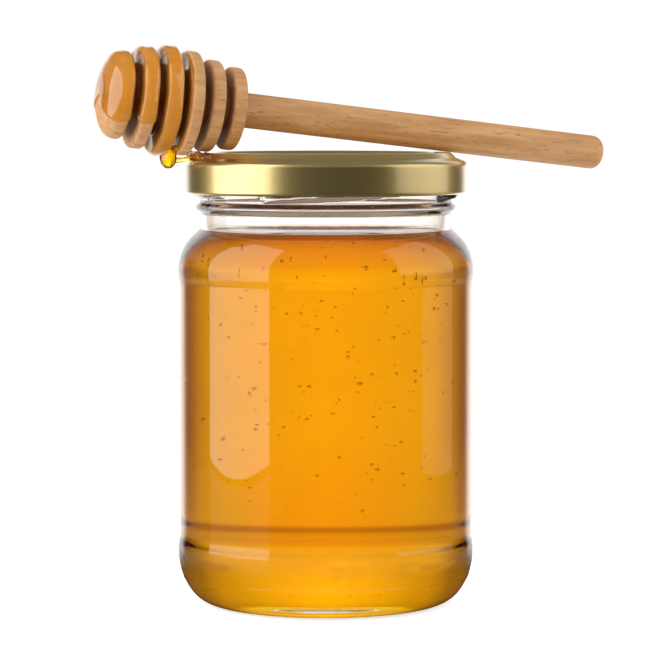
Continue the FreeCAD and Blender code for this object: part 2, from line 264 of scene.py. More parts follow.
def ramp(tree, source, stops):
    """Colour ramp through (position, hex colour) stops."""
    item = node(tree, "ShaderNodeValToRGB", links={"Fac": source})
    while len(item.color_ramp.elements) < len(stops):
        item.color_ramp.elements.new(1.0)
    for element, (position, code) in zip(item.color_ramp.elements, stops):
        element.position = position
        element.color = linear(code)
    return item.outputs["Color"]


def mixed(tree, share, first, second):
    """Colour that goes from the first to the second with the share. Each is a socket or a hex colour."""
    item = node(tree, "ShaderNodeMix", {"data_type": "RGBA"}, {0: share})
    for place, colour in ((6, first), (7, second)):
        if isinstance(colour, str):
            item.inputs[place].default_value = linear(colour)
        else:
            tree.links.new(colour, item.inputs[place])
    return item.outputs[2]


def past_half(tree, value):
    """1 where a value is over a half, otherwise 0. For a ray's depth that is from its first such bounce."""
    return node(tree, "ShaderNodeMath", {"operation": "GREATER_THAN", 1: 0.5}, {0: value}).outputs[0]


def flint_glass():
    """Blown flint glass, fire-polished: water-clear, with a faint slow ripple left by the mould."""
    material, tree = new_material("flint_glass_blown")
    place = node(tree, "ShaderNodeTexCoord").outputs["Object"]
    ripple = node(tree, "ShaderNodeTexNoise", {"Scale": 1 / 0.011, "Detail": 1.0}, {"Vector": place})
    tint = ramp(tree, ripple.outputs["Fac"], [(0.3, "#FCFDFC"), (0.7, "#FFFFFE")])
    bump = node(tree, "ShaderNodeBump", {"Strength": 0.35, "Distance": 0.00006},
                {"Height": ripple.outputs["Fac"]})
    surface = node(tree, "ShaderNodeBsdfPrincipled", {
        "IOR": 1.52, "Roughness": 0.0, "Transmission Weight": 1.0,
    }, {"Base Color": tint, "Normal": bump.outputs["Normal"]})
    node(tree, "ShaderNodeOutputMaterial", links={"Surface": surface.outputs["BSDF"]})
    return material


def liquid_honey(name, soak, density, gloss=0.0):
    """Clear liquid honey: it soaks up blue at once and green slowly, so depth turns it amber."""
    material, tree = new_material(name)
    place = node(tree, "ShaderNodeTexCoord").outputs["Object"]
    swirl = node(tree, "ShaderNodeTexNoise", {"Scale": 1 / 0.012, "Detail": 2.0}, {"Vector": place})
    tint = ramp(tree, swirl.outputs["Fac"], [(0.3, "#FFFCF4"), (0.7, "#FFFFFC")])
    surface = node(tree, "ShaderNodeBsdfPrincipled", {
        "IOR": 1.49, "Roughness": 0.0, "Transmission Weight": 1.0,
        "Coat Weight": gloss, "Coat Roughness": 0.02, "Coat IOR": 1.6,
    }, {"Base Color": tint})
    depth = node(tree, "ShaderNodeVolumeAbsorption", {"Color": linear(soak), "Density": density})
    node(tree, "ShaderNodeOutputMaterial",
         links={"Surface": surface.outputs["BSDF"], "Volume": depth.outputs["Volume"]})
    return material


def gold_lacquer():
    """Tinplate under clear gold lacquer, satin with a faint grain, and cream food lacquer on its inside."""
    material, tree = new_material("gold_lacquered_tinplate")
    place = node(tree, "ShaderNodeTexCoord").outputs["Object"]
    mottle = node(tree, "ShaderNodeTexNoise", {"Scale": 1 / 0.006, "Detail": 3.0}, {"Vector": place})
    grain = node(tree, "ShaderNodeTexNoise", {"Scale": 1 / 0.0004, "Detail": 2.0}, {"Vector": place})
    tint = ramp(tree, mottle.outputs["Fac"], [(0.3, "#E4CA80"), (0.7, "#EAD28C")])
    rough = node(tree, "ShaderNodeMapRange", {"To Min": 0.3, "To Max": 0.34},
                 {"Value": grain.outputs["Fac"]})
    inside = node(tree, "ShaderNodeAttribute", {"attribute_name": "lining"}).outputs["Fac"]
    colour = mixed(tree, inside, tint, "#F0E2CC")
    metal = node(tree, "ShaderNodeMath", {"operation": "SUBTRACT", 0: 1.0}, {1: inside})
    bump = node(tree, "ShaderNodeBump", {"Strength": 0.04, "Distance": 0.00001},
                {"Height": grain.outputs["Fac"]})
    surface = node(tree, "ShaderNodeBsdfPrincipled", {
        "Coat Weight": 1.0, "Coat Roughness": 0.15, "Coat IOR": 1.7,
    }, {"Base Color": colour, "Metallic": metal.outputs[0],
        "Roughness": rough.outputs["Result"], "Normal": bump.outputs["Normal"]})
    node(tree, "ShaderNodeOutputMaterial", links={"Surface": surface.outputs["BSDF"]})
    return material


def turned_beech(tip, yaw, tilt):
    """Steamed beech, turned and fine sanded: pinkish brown, with short dark flecks along the grain.

    It is more orange where honey has wetted it and brighter there with painted light, and darker with painted
    shade down in the grooves.
    """
    material, tree = new_material("turned_beech")
    place = node(tree, "ShaderNodeTexCoord").outputs["Object"]
    along = node(tree, "ShaderNodeMapping", {
        "vector_type": "TEXTURE", "Location": tip, "Rotation": (0, tilt, yaw),
    }, {"Vector": place}).outputs["Vector"]
    long_way = node(tree, "ShaderNodeMapping", {"Scale": (1 / 0.016, 1 / 0.0016, 1 / 0.0016)},
                    {"Vector": along}).outputs["Vector"]
    streak = node(tree, "ShaderNodeTexNoise", {"Scale": 1.0, "Detail": 3.0}, {"Vector": long_way})
    base = ramp(tree, streak.outputs["Fac"], [(0.25, "#B27E4D"), (0.5, "#C3905C"), (0.75, "#D0A16E")])
    short_way = node(tree, "ShaderNodeMapping", {"Scale": (1 / 0.0026, 1 / 0.00024, 1 / 0.00024)},
                     {"Vector": along}).outputs["Vector"]
    fleck = node(tree, "ShaderNodeTexNoise", {"Scale": 1.0, "Detail": 0.0}, {"Vector": short_way})
    mark = node(tree, "ShaderNodeMapRange", {"From Min": 0.7, "From Max": 0.8},
                {"Value": fleck.outputs["Fac"]})
    flecked = mixed(tree, mark.outputs["Result"], base, "#8A5C3C")
    # Painted light: under the honey film the wood goes to a bright orange. The orange is the honey's stain,
    # and the brightness is painted light for the lamp light that the film keeps off the wood.
    wet = node(tree, "ShaderNodeAttribute", {"attribute_name": "wet"}).outputs["Fac"]
    some = node(tree, "ShaderNodeMath", {"operation": "MULTIPLY", 1: 0.6}, {0: wet}).outputs[0]
    soaked_painted_light = mixed(tree, some, flecked, "#F0AC66")
    # Painted shade: the wood darkens towards a deep brown the further it lies down in the grooves.
    deep = node(tree, "ShaderNodeAttribute", {"attribute_name": "groove"}).outputs["Fac"]
    colour = mixed(tree, deep, soaked_painted_light, "#8C5A34")
    bump = node(tree, "ShaderNodeBump", {"Strength": 0.3, "Distance": 0.00005},
                {"Height": streak.outputs["Fac"]})
    surface = node(tree, "ShaderNodeBsdfPrincipled", {"Roughness": 0.6},
                   {"Base Color": colour, "Normal": bump.outputs["Normal"]})
    node(tree, "ShaderNodeOutputMaterial", links={"Surface": surface.outputs["BSDF"]})
    return material


# ---------------------------------------------------------------- jar

SHOULDER_CURVE = 11.75
NECK_CURVE = 2.0
SHOULDER_BOTTOM = 81.5
BEND = (31.2, 90.9)
BEND_SLANT = (0.6, 0.8)
NECK_BOTTOM = 92.5
BORE_RADIUS = NECK_RADIUS - GLASS_WALL
FLOOR_CURVE = 9.0
FLOOR_LOW = 4.5
FLOOR_RISE = 1.0


def inside_steps(reach):
    """The jar's inside from the neck to the middle of its floor, moved into the wall by a reach."""
    wall = GLASS_WALL - reach
    floor_edge = JAR_RADIUS - GLASS_WALL - FLOOR_CURVE
    dome = (floor_edge ** 2 + FLOOR_RISE ** 2) / (2 * FLOOR_RISE)
    return [
        (NECK_RADIUS - wall, NECK_BOTTOM, NECK_CURVE + wall, 1),
        (BEND[0] - BEND_SLANT[0] * wall, BEND[1] - BEND_SLANT[1] * wall, SHOULDER_CURVE - wall, -1),
        (JAR_RADIUS - wall, SHOULDER_BOTTOM),
        (JAR_RADIUS - wall, FLOOR_LOW + FLOOR_CURVE, FLOOR_CURVE + reach, -1),
        (floor_edge, FLOOR_LOW - reach, dome, 1),
        (0, FLOOR_LOW + FLOOR_RISE - reach),
    ]


def jar_outline():
    """Closed outline of the glass from the middle of its base, up the outside and down the inside."""
    push_up = 1.8
    low_curve = 8.3
    heel_curve = 15.4
    heel_top = 12.56
    neck_bead = 31.4
    rim_curve = 0.8
    stand_outer = BEAD_RADIUS - 0.8 * low_curve - 0.2 * heel_curve
    stand_inner = stand_outer - 2.0
    outside = [
        (0, push_up, (stand_inner ** 2 + push_up ** 2) / (2 * push_up), -1),
        (stand_inner, 0),
        (stand_outer, 0, low_curve, 1),
        (stand_outer + 0.8 * low_curve, 0.4 * low_curve, heel_curve, 1),
        (BEAD_RADIUS, heel_top),
        (BEAD_RADIUS, HEEL_BEAD_TOP),
        (PANEL_RADIUS, PANEL_BOTTOM),
        (PANEL_RADIUS, PANEL_TOP),
        (JAR_RADIUS, SHOULDER_BEAD),
        (JAR_RADIUS, SHOULDER_BOTTOM, SHOULDER_CURVE, 1),
        (*BEND, NECK_CURVE, -1),
        (NECK_RADIUS, NECK_BOTTOM),
        (NECK_RADIUS, 95.3),
        (neck_bead, 96.11, 0.77, 1),
        (neck_bead, 97.19),
        (FINISH_RADIUS, 98.0),
        (FINISH_RADIUS, RIM_TOP - rim_curve, rim_curve, 1),
        (FINISH_RADIUS - rim_curve, RIM_TOP),
        (BORE_RADIUS + rim_curve, RIM_TOP, rim_curve, 1),
        (BORE_RADIUS, RIM_TOP - rim_curve),
    ]
    return trace(outside + inside_steps(0))


def finish_rows(r, z):
    """Closer rows where the threads run and where the mould dots stand."""
    outer = r > FINISH_RADIUS - 0.35
    threads = outer * (z > 97.4) * (z < 104.6) * 2.4
    dots = (z > 4.6) * (z < 8.2) * (r > 30) * 2.0
    return threads + dots


def body_rows(r, z):
    """The label panel's steps and the beads beside it are blown soft, so they blend broadly."""
    return step_up(z, 11.5, 13.0) * (1 - step_up(z, 81.0, 82.5)) * (r > JAR_RADIUS - 1)


def mould_marks(r, z, a):
    """Threads, seams, knurling and heel dots, all as a push of the outer skin along the radius.

    A thread is a ridge whose middle climbs by the pitch once a turn, with sloping flanks and
    tapered ends. A seam is a narrow bell in angle. The knurling is a sum of three sines around the
    neck. A dot is a round bell at the middle of an even step around the heel, with some left out.
    """
    first_start = -121.6
    thread_low = 97.8 + 0.95
    seam_height, seam_width = 0.1, 0.24
    dot_count, dot_level, dot_size, dot_height = 84, 6.9, 0.33, 0.2
    outer = (r > FINISH_RADIUS - 0.35) * 1.0
    push = np.zeros_like(r)
    for start in range(4):
        turn = (a - math.radians(first_start + 90 * start)) % (2 * math.pi)
        middle = thread_low + THREAD_PITCH * turn / (2 * math.pi)
        flank = 1 - step_up(np.abs(z - middle), 0.45, 1.0)
        ends = step_up(turn, 0, 0.35) * (1 - step_up(turn, 1.47, 1.82))
        push = np.maximum(push, THREAD_DEPTH * flank * ends)
    push = push * outer * step_up(z, 97.0, 97.4)
    skin = (r > 0.5 * (NECK_RADIUS + BORE_RADIUS)) * step_up(z, 92.3, 93.0)
    for seam in (-155.2, 24.8):
        off = (a - math.radians(seam) + math.pi) % (2 * math.pi) - math.pi
        bell = np.exp(-((off * NECK_RADIUS / seam_width) ** 2))
        push = push + seam_height * skin * (1 - step_up(z, 104.0, 105.0)) * bell
    for height in (93.55, 94.85):
        row = np.exp(-(((z - height) / 0.16) ** 2)) * skin
        wave = np.sin(a * 150) + 0.8 * np.sin(a * 97 + 1.3) + 0.6 * np.sin(a * 41 + 0.4)
        push = push + 0.015 * row * wave
    step = 2 * math.pi / dot_count
    near = (np.floor(a / step) + 0.5) * step
    shown = np.sin(near * 17.3) + np.sin(near * 5.1 + 2.0) > -0.25
    around = (a - near) * r
    dot = np.exp(-((around / dot_size) ** 2) - ((z - dot_level) / dot_size) ** 2)
    push = push + dot_height * dot * shown * (r > 30) * (z < 20)
    return r + push, z


glass = flint_glass()
points, faces = spun(*softened(*jar_outline(), 0.2, 320, finish_rows, body_rows), 304, mould_marks)
new_piece("glass_jar", points * MM, outward(points, faces), glass, "clear_glass", "jar")

# ---------------------------------------------------------------- honey


def honey_outline():
    """Honey from the middle of its level, out to where it climbs the glass, and down the inside."""
    climb = 1.9
    r, z = trace(inside_steps(HONEY_INTO_WALL))
    keep = z <= MENISCUS_TOP
    wall_r = float(np.interp(-MENISCUS_TOP, -z, r))
    level_r = np.linspace(0, wall_r, 800, endpoint=False)
    level_z = HONEY_LEVEL + (MENISCUS_TOP - HONEY_LEVEL) * np.exp((level_r - wall_r) / climb)
    return np.concatenate([level_r, r[keep]]), np.concatenate([level_z, z[keep]])


honey = liquid_honey("amber_honey_deep", "#FEF300", 150.0)
points, faces = spun(*softened(*honey_outline(), 0.06, 230), 256)
new_piece("jar_honey", points * MM, outward(points, faces), honey, "amber_honey", "honey")


def balls(centre, size):
    """Points and faces of balls of a few dozen faces, one for each centre and size.

    Each ball is a grid of rings: its centre plus its radius times (cos b cos a, cos b sin a, sin b).
    """
    rise = np.linspace(-0.5, 0.5, 7)[1:-1] * math.pi
    around = 2 * math.pi * np.arange(8) / 8
    rings = np.stack([
        np.cos(rise)[:, None] * np.cos(around), np.cos(rise)[:, None] * np.sin(around),
        np.repeat(np.sin(rise)[:, None], 8, 1)], -1).reshape(-1, 3)
    ball = np.concatenate([[[0, 0, -1]], rings, [[0, 0, 1]]])
    points = (centre[:, None, :] + size[:, None, None] * ball).reshape(-1, 3)
    shift = len(ball) * np.arange(len(centre))[:, None, None]
    parts = outward(ball, spun_faces(len(rise), 8))
    return points, [(part[None] + shift).reshape(-1, part.shape[1]) for part in parts]


def air_bubble():
    """Air trapped in honey: a clear bead with a dark rim and a bright middle."""
    material, tree = new_material("trapped_air")
    place = node(tree, "ShaderNodeTexCoord").outputs["Object"]
    speck = node(tree, "ShaderNodeTexNoise", {"Scale": 1 / 0.003}, {"Vector": place})
    tint = ramp(tree, speck.outputs["Fac"], [(0.3, "#F6E8C8"), (0.7, "#FFFFFF")])
    surface = node(tree, "ShaderNodeBsdfPrincipled", {
        "IOR": 1.49, "Roughness": 0.0, "Transmission Weight": 1.0}, {"Base Color": tint})
    node(tree, "ShaderNodeOutputMaterial", links={"Surface": surface.outputs["BSDF"]})
    return material


def add_bubbles(count):
    """Small air bubbles, most of them high in the honey, and four larger ones near its front."""
    draw = np.random.default_rng(7)
    height = 88.0 - 64.0 * draw.random(count) ** 2.2
    reach = 31.0 * np.sqrt(draw.random(count)) * np.where(height > 82, 0.88, 1.0)
    angle = 2 * math.pi * draw.random(count)
    size = 0.15 + 0.26 * draw.random(count) ** 2.5
    centre = np.stack([reach * np.cos(angle), reach * np.sin(angle), height], 1)
    large = np.array([[-0.9, -27.6, 88.3], [0.2, -27.7, 88.1], [8.6, -24.0, 82.5], [21.0, -17.0, 80.5]])
    centre = np.concatenate([centre, large])
    size = np.concatenate([size, [0.42, 0.4, 0.42, 0.34]])
    points, faces = balls(centre, size)
    new_piece("honey_bubbles", points * MM, faces, air_bubble(), "amber_honey")


add_bubbles(420)

# ---------------------------------------------------------------- lid


def lid_outline():
    """Lid from the middle of its sunk panel, over the ring and skirt, around the curl, and back inside."""
    sheet = 0.4
    curl = 0.65
    curl_middle = 100.6
    sunk = 0.8
    shoulder = 1.3
    skirt_top = LID_TOP - 3.15
    top = [
        (0, LID_TOP - sunk),
        (27.4, LID_TOP - sunk),
        (28.3, LID_TOP),
        (30.3, LID_TOP),
        (LEDGE_INNER, LID_TOP - 1.3),
        (LEDGE_OUTER, LID_TOP - 1.95, shoulder, -1),
        (LID_RADIUS, skirt_top),
    ]
    edge = [
        (LID_RADIUS, curl_middle, curl, -1),
        (LID_RADIUS - curl, curl_middle - curl, curl, -1),
        (LID_RADIUS - 2 * curl, curl_middle, curl, -1),
        (LID_RADIUS - curl, curl_middle + curl),
        (LID_RADIUS - sheet, curl_middle + curl),
        (LID_RADIUS - sheet, skirt_top, shoulder, 1),
    ]
    under = [(r - 0.2, z - sheet) for r, z in (top[5][:2], top[4], top[3])]
    under += [(r + 0.2, z - sheet) for r, z in (top[2], top[1])]
    return trace(top + edge + under + [(0, LID_TOP - sunk - sheet)])


gold = gold_lacquer()
lid_rows, lid_columns = 240, 288
lid_r, lid_z = softened(*lid_outline(), 0.13, lid_rows)
points, faces = spun(lid_r, lid_z, lid_columns)
lining = (np.arange(lid_rows) > np.argmin(lid_z)) * 1.0
lining = np.concatenate([lining[:1], np.repeat(lining[1:-1], lid_columns), lining[-1:]])
new_piece("twist_off_lid", points * MM, outward(points, faces), gold, "gold_lacquered_steel", "lid",
          lining=lining)

# ---------------------------------------------------------------- dipper

RING_MIDDLE = 29.3
DISC_RADII = (12.2, 13.05, 12.55, 11.05, 10.0)
DISC_FIRST = 9.7
DISC_PITCH = 5.65
DISC_HALF = 1.65
DISC_CURVE = 0.8
KNOB_RADIUS = 10.5
KNOB_END = 5.7
KNOB_STEPS = [
    (0, 0),
    (3.78, 0, 9.0, -1),
    (9.18, 1.8, 3.3, -1),
    (KNOB_RADIUS, 4.44),
    (KNOB_RADIUS, 4.9, 0.8, -1),
    (9.7, KNOB_END),
]
HANDLE_RADIUS = 4.22
HANDLE_END_RADIUS = 4.12
HANDLE_END_CURVE = 2.6
DIPPER_LENGTH = 129.0
YAW = math.radians(17.5)
TILT = math.atan((DISC_RADII[3] - HANDLE_RADIUS) / (2 * RING_MIDDLE))
ALONG = np.array([math.cos(TILT) * math.cos(YAW), math.cos(TILT) * math.sin(YAW), -math.sin(TILT)])
ACROSS = np.array([-math.sin(YAW), math.cos(YAW), 0.0])
UPWARD = np.cross(ALONG, ACROSS)
AXIS_HEIGHT = LID_TOP + 0.2 + 0.5 * (DISC_RADII[3] + HANDLE_RADIUS) * math.cos(TILT)
TIP = np.array([0, 1.5, AXIS_HEIGHT]) - ALONG * 56.6


def on_axis(station, radius, angle):
    """Points at a station along the dipper, a radius and an angle, 0 being its far side and 90 up."""
    out = np.cos(angle)[..., None] * ACROSS + np.sin(angle)[..., None] * UPWARD
    return TIP + station[..., None] * ALONG + radius[..., None] * out


def disc_steps(radius, middle):
    """Steps over the rounded rim of one disc."""
    return [
        (radius - DISC_CURVE, middle - DISC_HALF, DISC_CURVE, -1),
        (radius, middle - DISC_HALF + DISC_CURVE),
        (radius, middle + DISC_HALF - DISC_CURVE, DISC_CURVE, -1),
        (radius - DISC_CURVE, middle + DISC_HALF),
    ]


def trace_turned(steps):
    """Trace of steps of radius and station, whose arcs are stated with their sides swapped."""
    return trace([(*step[:3], -step[3]) if len(step) == 4 else step for step in steps])


def dipper_outline():
    """Outline of the turned wood from the tip of the knob to the end of the handle."""
    core = 5.0
    steps = [*KNOB_STEPS, (core, KNOB_END)]
    for index, radius in enumerate(DISC_RADII):
        middle = DISC_FIRST + index * DISC_PITCH
        steps += [(core, middle - DISC_HALF), *disc_steps(radius, middle)]
        if index < len(DISC_RADII) - 1:
            steps.append((core, middle + DISC_HALF))
    steps += [
        (HANDLE_RADIUS, middle + DISC_HALF),
        (HANDLE_END_RADIUS, DIPPER_LENGTH - HANDLE_END_CURVE, HANDLE_END_CURVE, -1),
        (HANDLE_END_RADIUS - HANDLE_END_CURVE, DIPPER_LENGTH),
        (0, DIPPER_LENGTH),
    ]
    return trace_turned(steps)


def covered(station, angle):
    """Share of honey cover on the head: 1 above an edge that slants from the knob to the second disc.

    The second disc is covered all round, and nothing is covered past the groove that follows it.
    """
    edge = np.radians(np.interp(station, (0, 5, 10, 13), (232, 222, 216, 216)))
    start = math.radians(-40)
    turned = (angle - start) % (2 * math.pi) + start
    cover = step_up(turned, start, start + 0.2) * (1 - step_up(turned, edge - 0.16, edge))
    cover = np.maximum(cover, step_up(station, 12.0, 13.0))
    return cover * (1 - step_up(station, 19.6, 20.6))


beech = turned_beech(tuple(TIP * MM), YAW, TILT)
points, faces = spun(*softened(*dipper_outline(), 0.22, 420), 160)
turn = np.arctan2(points[:, 1], points[:, 0])
station, radius = points[:, 2], np.hypot(points[:, 0], points[:, 1])
# Painted shade: how far the wood lies sunk below the disc rims, which darkens the wood's colour in the
# grooves.
knob_rim = 4.6
middles = [knob_rim] + [DISC_FIRST + index * DISC_PITCH for index in range(len(DISC_RADII))]
rim = np.interp(station, middles, (KNOB_RADIUS, *DISC_RADII))
groove = step_up(rim - radius, 0.5, 3.5) * step_up(station, knob_rim, 5.6)
groove = groove * (1 - step_up(station, 34.0, 35.0))
points = on_axis(station, radius, turn)
# The share of honey cover also sets where painted light brightens the wood's colour under the film.
new_piece("beech_dipper", points * MM, outward(points, faces), beech, "beech_wood", "dipper",
          groove=groove, wet=covered(station, turn))

# ---------------------------------------------------------------- honey on the dipper

glaze = liquid_honey("honey_film", "#FFF300", 1400.0, 0.6)


def film_outline():
    """Outline of the honey on the knob and the first discs, with the grooves part filled."""
    knob_wider = 0.65
    steps = list(KNOB_STEPS)
    for index, fill in enumerate((7.8, 8.6, 8.0)):
        middle = DISC_FIRST + index * DISC_PITCH
        steps += [
            (fill, middle - DISC_PITCH + DISC_HALF + (knob_wider if index == 0 else 0)),
            (fill, middle - DISC_HALF),
            *disc_steps(DISC_RADII[index], middle),
        ]
    return trace_turned(steps[:-2])


def add_film():
    """Film of honey over the head: its outer skin stands off the wood, its inner one lies within it.

    Row i of the outline and the angle a give a point inner + cover (outer - inner), where the cover
    falls from 1 to 0 below an edge that slants from the knob to the second disc.
    """
    radius, station = softened(*film_outline(), 0.34, 200)
    radius[-1] = radius[-2] + (radius[-2] - radius[-3])
    along, out = np.gradient(station), np.gradient(radius)
    length = np.hypot(along, out)
    away_s, away_r = -out / length, along / length
    columns = 144
    into_wood = 0.4
    groove_core = 4.7
    angle = 2 * math.pi * np.arange(columns) / columns
    rr, ss = radius[1:, None], station[1:, None]
    ns, nr = away_s[1:, None], away_r[1:, None]
    wave = 0.1 * np.sin(3 * angle + 1.3 * ss) + 0.07 * np.sin(7 * angle - 2.1 * ss)
    thick = 0.36 + wave * step_up(ss, 0.5, 2.0)
    groove_at = np.abs((ss - DISC_FIRST + DISC_PITCH / 2) % DISC_PITCH - DISC_PITCH / 2)
    in_groove = (groove_at > DISC_HALF) * (ss > KNOB_END)
    core = np.where(in_groove, groove_core, rr - into_wood * nr)
    cover = covered(ss, angle[None, :])
    inner_s = ss - into_wood * ns
    full_s = inner_s + cover * (ss + thick * ns - inner_s)
    full_r = core + cover * (rr + thick * nr - core)
    inner_r = np.repeat(core, columns, 1)[::-3]
    inner_s = np.repeat(inner_s, columns, 1)[::-3]
    ring_r = np.concatenate([full_r, inner_r[1:]])
    ring_s = np.concatenate([full_s, inner_s[1:]])
    angle = np.repeat(angle[None, :], len(ring_r), 0)
    body = on_axis(ring_s, np.maximum(ring_r, 0.02), angle).reshape(-1, 3)
    tips = TIP + np.array([[-0.42], [0.4]]) * ALONG
    points = np.concatenate([tips[:1], body, tips[1:]])
    faces = outward(points, spun_faces(len(ring_r), columns))
    new_piece("honey_film", points * MM, faces, glaze, "amber_honey")


def melted(centre, size, voxel):
    """One closed skin around overlapping balls, rounded by averaging each point with its neighbours.

    Centres, sizes and the voxel are in millimetres. The skin is worked out at a tenth of those
    numbers, a hundred times true size, because a voxel may not be too small.
    """
    scale = 0.1
    points, faces = balls(centre * scale, size * scale)
    mesh = bpy.data.meshes.new("melting")
    mesh.from_pydata(points.tolist(), [], [face for part in faces for face in part.tolist()])
    body = bpy.data.objects.new("melting", mesh)
    bpy.context.scene.collection.objects.link(body)
    remesh = body.modifiers.new("union", "REMESH")
    remesh.mode = "VOXEL"
    remesh.voxel_size = voxel * scale
    smooth = body.modifiers.new("round", "SMOOTH")
    smooth.iterations = 8
    done = body.evaluated_get(bpy.context.evaluated_depsgraph_get()).to_mesh()
    points = np.zeros(3 * len(done.vertices), np.float32)
    done.vertices.foreach_get("co", points)
    corners = np.zeros(len(done.loops), np.int32)
    done.loops.foreach_get("vertex_index", corners)
    bpy.data.objects.remove(body)
    bpy.data.meshes.remove(mesh)
    return points.reshape(-1, 3) * (1 / scale), [corners.reshape(-1, 4)]


def add_drip():
    """Honey that runs under the discs into a hanging drop, and along a thread into a pool on the ledge."""
    draw = np.random.default_rng(11)
    under = on_axis(np.array([18.17]), np.array([13.45]), np.array([-math.pi / 2]))[0]
    fall = np.linspace(0, 1, 12)[:, None]
    drop = under + fall * np.array([0.1, -0.1, -0.9]) + (1 - fall) * np.array([0, 0, 1.7])
    drop_size = np.interp(fall[:, 0], (0, 0.35, 0.8, 1), (1.6, 2.1, 2.05, 1.85))
    reach = np.linspace(0, 1, 14)[:, None]
    pool_reach = 0.5 * (LEDGE_INNER + LEDGE_OUTER)
    pool_side = 0.33
    thread_end = pool_reach * np.array([-math.cos(pool_side), -math.sin(pool_side), 0])
    thread_end = thread_end + np.array([0, 3.0, LID_TOP - 0.5])
    thread_start = np.array([0.8, 0, -0.6])
    thread = under + thread_start + reach * (thread_end - under - thread_start)
    thread[:, 2] -= 0.5 * np.sin(math.pi * reach[:, 0])
    thread_size = 0.62 + 0.35 * np.abs(2 * reach[:, 0] - 1) ** 2
    web = under + np.linspace(0, 1, 12)[:, None] * np.array([5.2, 0.6, 1.7]) + np.array([0, 0, 0.5])
    web_size = 0.75 + 0.2 * np.sin(np.arange(12))
    pool_count = 34
    turn = np.radians(np.linspace(170, 214, pool_count))
    lying = pool_reach + 0.5 * draw.standard_normal(pool_count)
    height = LID_TOP - 0.9 + 0.35 * draw.random(pool_count)
    pool = np.stack([lying * np.cos(turn), lying * np.sin(turn), height], 1)
    pool_size = 0.55 + 0.5 * draw.random(pool_count)
    points, faces = melted(
        np.concatenate([drop, thread, web, pool]),
        np.concatenate([drop_size, thread_size, web_size, pool_size]), 0.13)
    new_piece("honey_drop_and_pool", points * MM, outward(points, faces), glaze, "amber_honey", "honey_drip")


add_film()
add_drip()

# ---------------------------------------------------------------- stage


def studio_floor():
    """White table paper that fades into the backdrop past the object.

    Through the glass it shows the jar's amber shadow and light, painted around its foot; in a mirror it shows
    painted shade, darkest near the jar.
    """
    material, tree = new_material("white_table_paper")
    place = node(tree, "ShaderNodeTexCoord").outputs["Object"]
    away = node(tree, "ShaderNodeVectorMath", {"operation": "LENGTH"}, {0: place}).outputs["Value"]
    fade = node(tree, "ShaderNodeMapRange", {"From Min": 0.06, "From Max": 0.15}, {"Value": away})
    path = node(tree, "ShaderNodeLightPath").outputs
    white = node(tree, "ShaderNodeBsdfDiffuse", {"Color": linear("#F4F4F2")})
    glow = node(tree, "ShaderNodeEmission", {"Color": linear("#FFFFFF"), "Strength": 0.6})
    both = node(tree, "ShaderNodeAddShader", links={0: white.outputs[0], 1: glow.outputs[0]})
    # Painted shadow and light: seen through the glass, the floor glows with the jar's amber shadow and light,
    # painted in rings around its foot.
    amber = ramp(tree, away, [(0.03, "#FFF4D0"), (0.042, "#C4A074"), (0.09, "#BC9870"), (0.14, "#D0C0AC")])
    lit = node(tree, "ShaderNodeEmission", {"Strength": 0.95}, {"Color": amber})
    through = node(tree, "ShaderNodeMixShader", links={
        0: path["Is Transmission Ray"], 1: both.outputs[0], 2: lit.outputs[0]})
    bounced = past_half(tree, path["Glossy Depth"])
    # Painted shade: seen in a mirror, the floor is darker the nearer it lies to the jar.
    dim = ramp(tree, away, [(0.06, "#4A4844"), (0.11, "#B8B4AC")])
    dark = node(tree, "ShaderNodeBsdfDiffuse", links={"Color": dim})
    seen = node(tree, "ShaderNodeMixShader", links={
        0: bounced, 1: through.outputs[0], 2: dark.outputs[0]})
    clear = node(tree, "ShaderNodeBsdfTransparent")
    faded = node(tree, "ShaderNodeMixShader", links={
        0: fade.outputs["Result"], 1: seen.outputs[0], 2: clear.outputs[0]})
    node(tree, "ShaderNodeOutputMaterial", links={"Surface": faded.outputs[0]})
    return material


def add_floor():
    """Flat round floor, a hair below the height that the jar stands on."""
    columns = 96
    floor_radius = 0.16
    angle = 2 * math.pi * np.arange(columns) / columns
    ring = np.stack([floor_radius * np.cos(angle), floor_radius * np.sin(angle), np.zeros(columns)], 1)
    mesh = bpy.data.meshes.new("studio_floor")
    mesh.from_pydata(ring.tolist(), [], [list(range(columns))])
    mesh.materials.append(studio_floor())
    floor = bpy.data.objects.new("studio_floor", mesh)
    floor.location.z = -0.00002
    bpy.context.scene.collection.objects.link(floor)


def add_softbox(name, side, distance, width, height, bottom, radiance):
    """Soft light at an angle around from the front, in degrees, turned to the jar's axis.

    The other numbers are metres, apart from the radiance.
    """
    data = bpy.data.lights.new(name, "AREA")
    data.shape = "RECTANGLE"
    data.size = width
    data.size_y = height
    data.energy = radiance * math.pi * width * height
    light = bpy.data.objects.new(name, data)
    angle = math.radians(side)
    light.location = (distance * math.sin(angle), -distance * math.cos(angle), bottom + height / 2)
    light.rotation_euler = (math.pi / 2, 0, angle)
    light.visible_camera = False
    light.visible_transmission = False
    bpy.context.scene.collection.objects.link(light)


